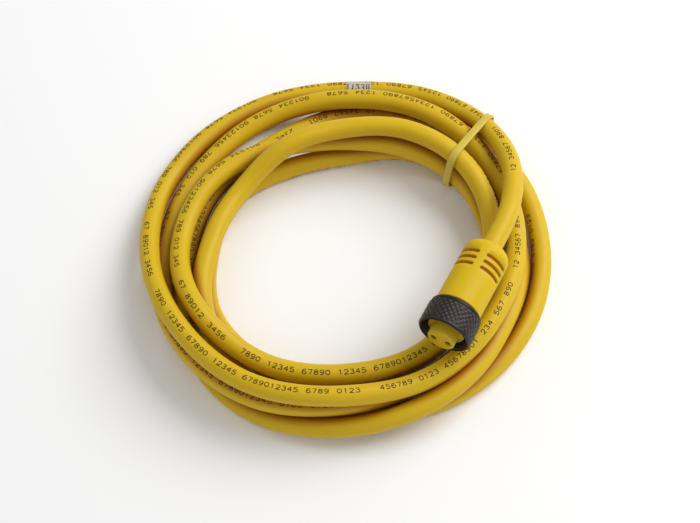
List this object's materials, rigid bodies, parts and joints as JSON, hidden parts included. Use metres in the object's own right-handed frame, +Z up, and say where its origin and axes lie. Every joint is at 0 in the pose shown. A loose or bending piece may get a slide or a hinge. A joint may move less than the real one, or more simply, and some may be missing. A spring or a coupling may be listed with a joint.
{
  "type": "power cord set",
  "caption": "Coiled round power cord with a moulded two-pole screw-coupling socket connector at one end and bare leads at the other.",
  "frame": {"origin": "on the surface that the coil lies on, under the middle of the whole part's box", "axes": "+Z up, +Y towards the side of the coil that the cable tie holds, +X towards the side that the connector lies on"},
  "size_m": [0.1912, 0.1933, 0.0502],
  "materials": {
    "jacket": "satin yellow PVC",
    "grip": "satin yellow moulded PVC",
    "insert": "dull olive-yellow moulded plastic",
    "inner_mould": "natural moulded plastic",
    "nut": "satin black coat on a knurled metal nut",
    "contact": "plain",
    "copper": "bright bare copper strands",
    "wire_black": "satin black PVC",
    "wire_white": "satin white PVC",
    "filler": "loose fibre",
    "marker": "matt light grey film",
    "tie": "natural translucent nylon"
  },
  "bodies": {
    "cord_set": {"grip": "grip", "inner_mould": "inner_mould", "contact_insert": "insert", "socket_contact_left": "contact", "socket_contact_right": "contact", "black_wire": "wire_black", "white_wire": "wire_white", "black_wire_strands": "copper", "white_wire_strands": "copper", "jacket_in_grip": "jacket", "filler_upper": "filler", "filler_lower": "filler", "cord_coil": "jacket", "marker_sleeve": "marker", "cable_tie": "tie", "black_lead": "wire_black", "white_lead": "wire_white", "black_lead_strands": "copper", "white_lead_strands": "copper"},
    "coupling_nut": {"coupling_nut": "nut"}
  },
  "joints": [
    {"name": "nut_turn", "type": "hinge", "parent": "cord_set", "child": "coupling_nut", "pos_m": [0.0428, -0.06125, 0.0375], "axis": [0.4524, 0.8918, 0], "continuous": true}
  ]
}
